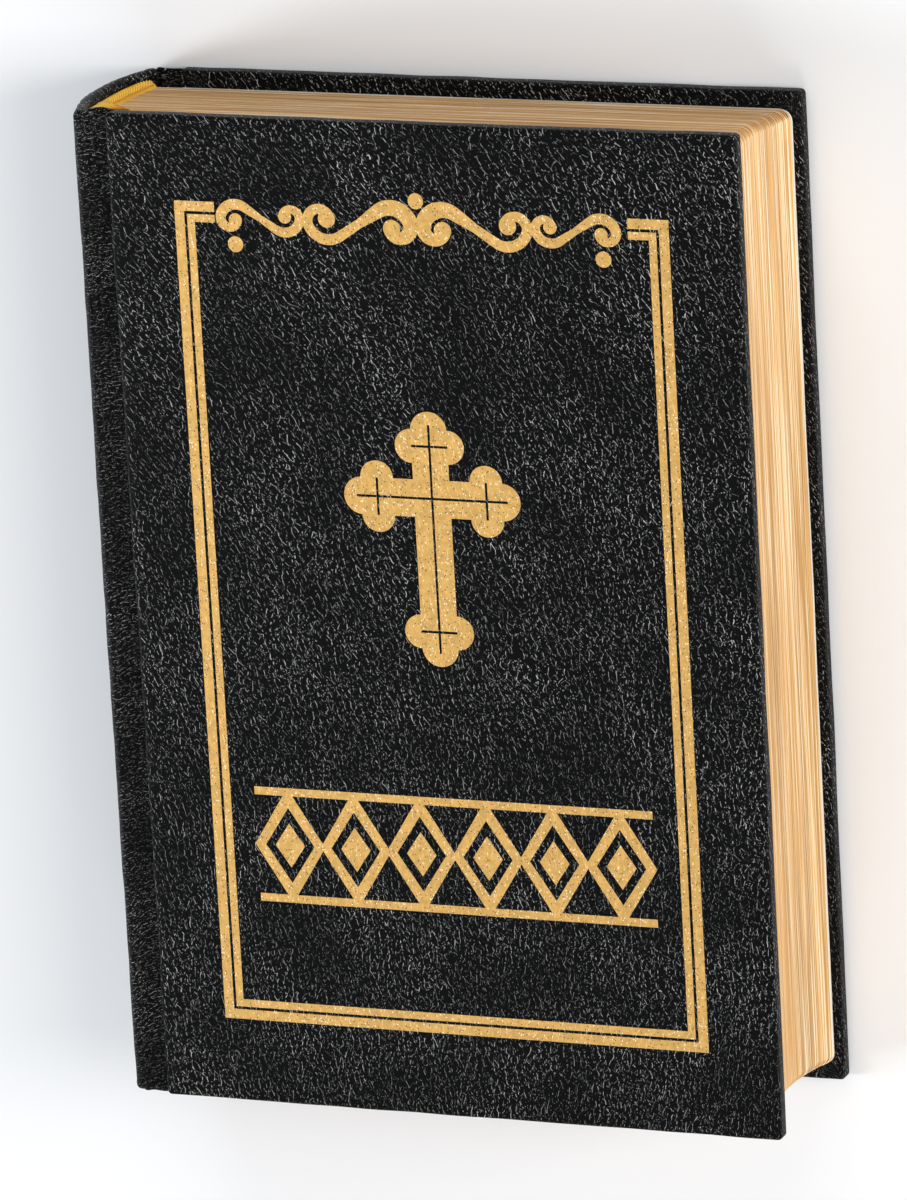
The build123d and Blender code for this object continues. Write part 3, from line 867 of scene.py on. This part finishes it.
def ribbon():
    """The woven marker: a ruled strip between two smooth edge lines.

    It comes up behind the headband, lies over the cord, turns down over the head of the block and
    goes between two sections to the tail. Ribs cross it and each edge has a row of small loops.
    """
    low, high = (np.array(corner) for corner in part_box("ribbon_marker"))
    back, _ = edge_curves()
    half = float(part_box(SECTIONS[0])[1][1])
    gap = low[2] + 0.13 * MM
    cx = float(np.polyval(back, gap + 5 * MM)) - 0.2 * MM

    def line(*points):
        """An edge of the strip, in millimetres from the cord, the block's head and the gap."""
        return [(cx + x * MM, half + y * MM, gap + z * MM) for x, y, z in points]

    inside = [(low[0], half - 5 * MM, gap), (low[0], low[1] + 2 * MM, gap)]
    left = line((-1.4, -4, 7.5), (-1.3, 1.0, 7.3), (-0.3, 2.4, 6.8), (1.4, 2.3, 5.6), (1.9, 1.3, 3.0),
                (1.7, 0.8, 1.2), (1.7, 0.45, 0.2), (1.9, -1.2, 0)) + inside
    inside = [(high[0], half - 5 * MM, gap), (high[0], low[1] + 2 * MM, gap)]
    right = line((-1.4, -4, 0.6), (-1.3, 1.0, 0.6), (-0.1, 2.45, 0.8), (2.4, 2.5, 1.2), (4.6, 1.8, 1.0),
                 (6.8, 1.1, 0.6), (8.8, 0.5, 0.15), (9.0, -1.2, 0)) + inside
    one, two = even(rounded(left, 4), 480), even(rounded(right, 4), 480)
    s = along((one + two) / 2)
    v = np.linspace(0, 1, 29)
    middle = one[:, None, :] * (1 - v)[None, :, None] + two[:, None, :] * v[None, :, None]
    ds, dv = np.gradient(middle, axis=0), np.gradient(middle, axis=1)
    normal = np.cross(ds, dv)
    normal /= np.linalg.norm(normal, axis=-1, keepdims=True) + 1e-12
    if normal[240, 14, 2] < 0:
        normal = -normal
    rim = np.exp(-(np.minimum(v, 1 - v) / 0.06) ** 2)
    rib = 0.03 * MM * np.cos(2 * np.pi * s / (0.7 * MM))[:, None] + 0.24 * MM * rim * np.abs(
        np.cos(np.pi * s / (1.3 * MM)))[:, None]
    sheet = np.stack([s[:, None] + 0 * v, v * 7.5 * MM + 0 * s[:, None], 0 * middle[..., 0]], -1)
    upper = middle + normal * (0.11 * MM + rib)[..., None]
    lower = middle - normal * (0.11 * MM + rib * 0.5)[..., None]
    border = [np.stack([a, b], 1) for a, b in ((upper[:, 0], lower[:, 0]), (upper[:, -1], lower[:, -1]),
                                              (upper[0], lower[0]), (upper[-1], lower[-1]))]
    patches = [patch(upper, sheet), patch(lower, sheet)] + [patch(part) for part in border]
    thing = piece("ribbon", patches, ["silk"])
    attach(thing, "text_block")
    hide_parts("ribbon_marker")


# ---- stage --------------------------------------------------------------------------------------
def lamp(name, place, target, size, watts, tint):
    """A soft rectangular light that faces a point."""
    light = bpy.data.lights.new(name, "AREA")
    light.shape = "RECTANGLE"
    light.size, light.size_y = size
    light.energy = watts
    light.color = tint
    thing = bpy.data.objects.new(name, light)
    bpy.context.scene.collection.objects.link(thing)
    thing.location = place
    thing.rotation_mode = "QUATERNION"
    thing.rotation_quaternion = (Vector(target) - Vector(place)).to_track_quat("-Z", "Y")
    return thing


def stage():
    """Pale floor, soft lights and the camera.

    The camera looks straight at the cover from its fore-edge and head side, with no shift. Its up
    direction is the cover's long edge as it is seen, then a small roll shares the slant that this
    angle gives the cover between its long and its short edges.
    """
    mesh = bpy.data.meshes.new("studio_floor")
    reach = 3.0
    mesh.from_pydata([(-reach, -reach, 0), (reach, -reach, 0), (reach, reach, 0), (-reach, reach, 0)], [],
                     [(0, 1, 2, 3)])
    mesh.materials.append(material("floor"))
    floor = bpy.data.objects.new("studio_floor", mesh)
    bpy.context.scene.collection.objects.link(floor)
    centre = (0, 0, TOP)
    lamp("left_light", (-1.15, -0.25, 0.60), centre, (0.30, 1.3), 12, (0.93, 0.96, 1.0))
    lamp("right_light", (1.15, 0.2, 0.85), centre, (0.5, 1.2), 17, (1.0, 0.97, 0.93))
    lamp("head_light", (0.0, 1.5, 1.1), centre, (1.2, 0.6), 9, (1.0, 1.0, 1.0))
    lamp("tail_light", (0.2, -1.5, 1.1), centre, (1.2, 0.6), 12, (1.0, 0.99, 0.96))
    world = bpy.data.worlds.new("studio")
    bpy.context.scene.world = world
    world.use_nodes = True
    background = world.node_tree.nodes["Background"]
    background.inputs["Color"].default_value = (0.95, 0.97, 1.0, 1)
    background.inputs["Strength"].default_value = 0.30
    target = Vector((8.6 * MM, 6.5 * MM, TOP))  # a little past the middle of the cover
    lean_x, lean_y = 0.411, 0.307               # sideways steps for each step up, from the target
    distance = 1.83                             # height of the camera over the cover
    view_height = 256 * MM                      # tall side of the view at the target
    roll = math.radians(3.2)                    # half the slant of the cover as seen from here
    camera = bpy.data.objects.new("camera", bpy.data.cameras.new("camera"))
    bpy.context.scene.collection.objects.link(camera)
    away = Vector((lean_x, lean_y, 1))
    camera.location = target + away * distance
    back = away.normalized()
    up = (Vector((0, 1, 0)) - back * back.y).normalized()
    turn = Matrix((up.cross(back), up, back)).transposed()
    camera.rotation_euler = (turn @ Matrix.Rotation(-roll, 3, "Z")).to_euler()
    camera.data.lens = camera.data.sensor_width * away.length * distance / view_height
    camera.data.clip_end = 10
    bpy.context.scene.camera = camera
    bpy.context.scene.view_settings.view_transform = "Standard"


# ---- operators ----------------------------------------------------------------------------------
class BIBLE_OT_covering(bpy.types.Operator):
    """Cover the boards and the spine with leather"""

    bl_idname = "bible.covering"
    bl_label = "Covering leather"

    def execute(self, context):
        covering()
        return {"FINISHED"}


class BIBLE_OT_stamping(bpy.types.Operator):
    """Finish the stamped rules, scrolls, dots, cross and lozenge band in gold"""

    bl_idname = "bible.stamping"
    bl_label = "Gold stamping"

    def execute(self, context):
        for node in frame["nodes"]:
            if node.startswith("foil_"):
                dress(node, "foil")
        return {"FINISHED"}


class BIBLE_OT_case(bpy.types.Operator):
    """Finish the boards, linings and everything glued inside the case"""

    bl_idname = "bible.case"
    bl_label = "Boards and linings"

    def execute(self, context):
        for node in ("front_board", "back_board", "spine_strip"):
            dress(node, "board")
        for node in ("front_infill", "back_infill", "front_pastedown", "back_pastedown", "spine_lining"):
            dress(node, "paper")
        for node in ("spine_gauze", "sewing_threads"):
            dress(node, "linen")
        return {"FINISHED"}


class BIBLE_OT_leaves(bpy.types.Operator):
    """Make the sections of leaves and the flyleaves"""

    bl_idname = "bible.leaves"
    bl_label = "Leaves"

    def execute(self, context):
        leaves()
        return {"FINISHED"}


class BIBLE_OT_silk(bpy.types.Operator):
    """Make the headbands and the ribbon marker"""

    bl_idname = "bible.silk"
    bl_label = "Headbands and ribbon"

    def execute(self, context):
        headband(1)
        headband(-1)
        ribbon()
        return {"FINISHED"}


class BIBLE_OT_stage(bpy.types.Operator):
    """Set up the floor, the lights and the camera"""

    bl_idname = "bible.stage"
    bl_label = "Stage"

    def execute(self, context):
        stage()
        return {"FINISHED"}


OPERATORS = (BIBLE_OT_covering, BIBLE_OT_stamping, BIBLE_OT_case, BIBLE_OT_leaves, BIBLE_OT_silk,
             BIBLE_OT_stage)


class BIBLE_PT_panel(bpy.types.Panel):
    """The steps of the finish, in order"""

    bl_idname = "BIBLE_PT_panel"
    bl_label = "Bible"
    bl_space_type = "VIEW_3D"
    bl_region_type = "UI"
    bl_category = "Bible"

    def draw(self, context):
        for operator in OPERATORS:
            self.layout.operator(operator.bl_idname)
        for group in (context.scene.bible_sizes, context.scene.bible_colours):
            for name in group.bl_rna.properties.keys():
                if name not in ("rna_type", "name"):
                    self.layout.prop(group, name)


CLASSES = (BibleSizes, BibleColours, *OPERATORS, BIBLE_PT_panel)


def register():
    """Register the classes and the scene's properties."""
    for item in CLASSES:
        bpy.utils.register_class(item)
    bpy.types.Scene.bible_sizes = PointerProperty(type=BibleSizes)
    bpy.types.Scene.bible_colours = PointerProperty(type=BibleColours)


def unregister():
    """Take the properties and the classes away again."""
    del bpy.types.Scene.bible_sizes
    del bpy.types.Scene.bible_colours
    for item in reversed(CLASSES):
        bpy.utils.unregister_class(item)


def main():
    """Run every step."""
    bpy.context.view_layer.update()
    register()
    for operator in OPERATORS:
        group, name = operator.bl_idname.split(".")
        getattr(getattr(bpy.ops, group), name)()


if __name__ == "__main__":
    main()
